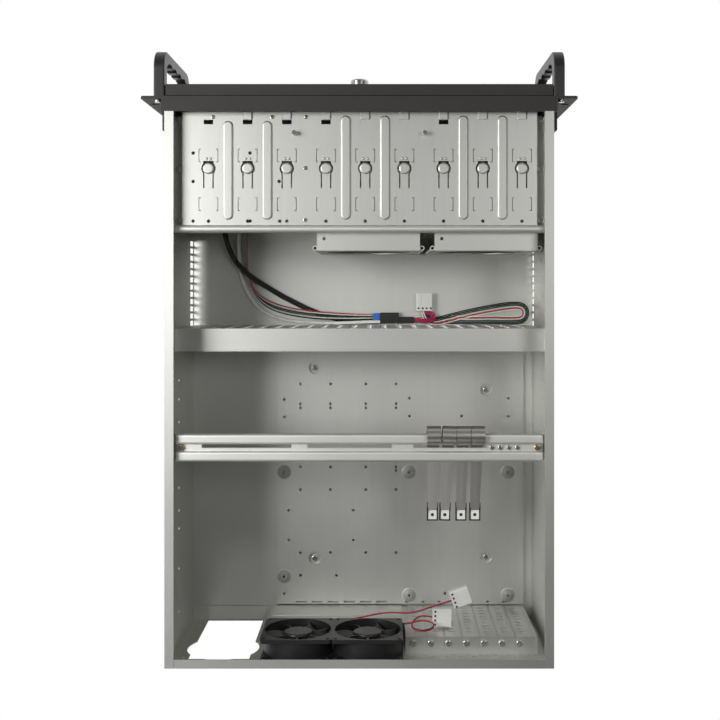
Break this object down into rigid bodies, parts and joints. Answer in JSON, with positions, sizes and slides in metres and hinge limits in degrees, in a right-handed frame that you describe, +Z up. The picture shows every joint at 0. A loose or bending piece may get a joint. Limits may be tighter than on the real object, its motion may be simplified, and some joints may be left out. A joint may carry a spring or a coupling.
{
  "type": "empty rackmount server case",
  "caption": "Open-topped steel rackmount case with a drive cage, board tray, rear fans, card slots, rack ears, carry handles and a locking drop-down front door.",
  "frame": {"origin": "middle of the bounding box, on the underside of the floor sheet", "axes": "front faces -Y, rear faces +Y, +Z is up, +X is to the right seen from the front"},
  "size_m": [0.4826, 0.686, 0.177],
  "materials": {
    "zinc_steel": "zinc-coated sheet, satin",
    "bright_steel": "bright plated sheet",
    "spring_steel": "dark nickel spring strip",
    "screw_steel": "plated screws",
    "brass_screw": "yellow passivated screws",
    "black_screw": "black screws",
    "dark_paint": "fine matt anthracite coating",
    "lock_metal": "satin chrome",
    "handle_plastic": "black moulded",
    "bay_plastic": "fine textured black",
    "button_plastic": "smooth black",
    "board_green": "solder mask",
    "fan_plastic": "black moulded",
    "rotor_plastic": "black moulded",
    "pad_rubber": "soft black",
    "black_lead": "smooth insulation",
    "grey_lead": "smooth insulation",
    "red_lead": "smooth insulation",
    "white_plug": "moulded",
    "black_plug": "moulded",
    "blue_plug": "moulded"
  },
  "bodies": {
    "case": {"chassis_tub": "zinc_steel", "rear_panel": "zinc_steel", "slot_panel": "zinc_steel", "io_plate": "bright_steel", "slot_covers": "bright_steel", "slot_screws": "screw_steel", "board_tray": "zinc_steel", "tray_screws": "screw_steel", "cage_top": "zinc_steel", "cage_side_right": "zinc_steel", "cage_side_left": "zinc_steel", "cage_floor": "zinc_steel", "cage_screws": "screw_steel", "cross_bar": "zinc_steel", "fan_bracket_1": "zinc_steel", "fan_bracket_2": "zinc_steel", "mid_wall": "zinc_steel", "hold_down_bar": "zinc_steel", "bar_bracket_right": "zinc_steel", "bar_bracket_left": "zinc_steel", "bar_screws": "brass_screw", "front_frame": "dark_paint", "hinge_pins": "screw_steel", "ear_right": "dark_paint", "ear_left": "dark_paint", "handle_right": "handle_plastic", "handle_left": "handle_plastic", "handle_screws": "screw_steel", "bay_fronts": "bay_plastic", "control_panel": "bay_plastic", "control_board": "board_green", "fan_screws": "black_screw", "usb_lead": "black_lead", "grey_lead": "grey_lead", "lamp_lead": "red_lead", "loop_lead": "black_lead", "fan_lead_1": "red_lead", "fan_lead_2": "red_lead", "power_plug": "white_plug", "header_plugs": "black_plug", "blue_plug": "blue_plug", "fan_plug_1": "white_plug", "fan_plug_2": "white_plug", "fan_frame_1": "fan_plastic", "fan_frame_2": "fan_plastic"},
    "door": {"front_door": "dark_paint", "lock_barrel": "lock_metal"},
    "lock": {"lock_plug": "lock_metal"},
    "power_button": {"power_button": "button_plastic"},
    "reset_button": {"reset_button": "button_plastic"},
    "rotor_1": {"fan_rotor_1": "rotor_plastic"},
    "rotor_2": {"fan_rotor_2": "rotor_plastic"},
    "clamp_1": {"card_clamp_1": "spring_steel", "clamp_pad_1": "pad_rubber"},
    "clamp_2": {"card_clamp_2": "spring_steel", "clamp_pad_2": "pad_rubber"},
    "clamp_3": {"card_clamp_3": "spring_steel", "clamp_pad_3": "pad_rubber"},
    "clamp_4": {"card_clamp_4": "spring_steel", "clamp_pad_4": "pad_rubber"}
  },
  "joints": [
    {"name": "door_hinge", "type": "hinge", "parent": "case", "child": "door", "pos_m": [0, -0.29805, 0.00665], "axis": [1, 0, 0], "range_deg": [0, 85]},
    {"name": "lock_turn", "type": "hinge", "parent": "door", "child": "lock", "pos_m": [0, -0.29805, 0.16], "axis": [0, 1, 0], "range_deg": [0, 90]},
    {"name": "fan_spin_1", "type": "hinge", "parent": "case", "child": "rotor_1", "pos_m": [0.0712, 0.32, 0.128], "axis": [0, 1, 0], "continuous": true},
    {"name": "fan_spin_2", "type": "hinge", "parent": "case", "child": "rotor_2", "pos_m": [-0.0088, 0.32, 0.128], "axis": [0, 1, 0], "continuous": true},
    {"name": "clamp_swing_1", "type": "hinge", "parent": "case", "child": "clamp_1", "pos_m": [-0.083, 0.0856, 0.164], "axis": [-1, 0, 0], "range_deg": [0, 15]},
    {"name": "clamp_swing_2", "type": "hinge", "parent": "case", "child": "clamp_2", "pos_m": [-0.0998, 0.0856, 0.164], "axis": [-0.9997, 0.0262, 0], "range_deg": [0, 15]},
    {"name": "clamp_swing_3", "type": "hinge", "parent": "case", "child": "clamp_3", "pos_m": [-0.1158, 0.0856, 0.164], "axis": [-1, 0, 0], "range_deg": [0, 15]},
    {"name": "clamp_swing_4", "type": "hinge", "parent": "case", "child": "clamp_4", "pos_m": [-0.1318, 0.0856, 0.164], "axis": [-1, 0, 0], "range_deg": [0, 15]},
    {"name": "power_button_press", "type": "slide", "parent": "case", "child": "power_button", "axis": [0, 1, 0], "range_m": [0, 0.0015], "stiffness_N_per_m": 600},
    {"name": "reset_button_press", "type": "slide", "parent": "case", "child": "reset_button", "axis": [0, 1, 0], "range_m": [0, 0.0015], "stiffness_N_per_m": 600}
  ]
}
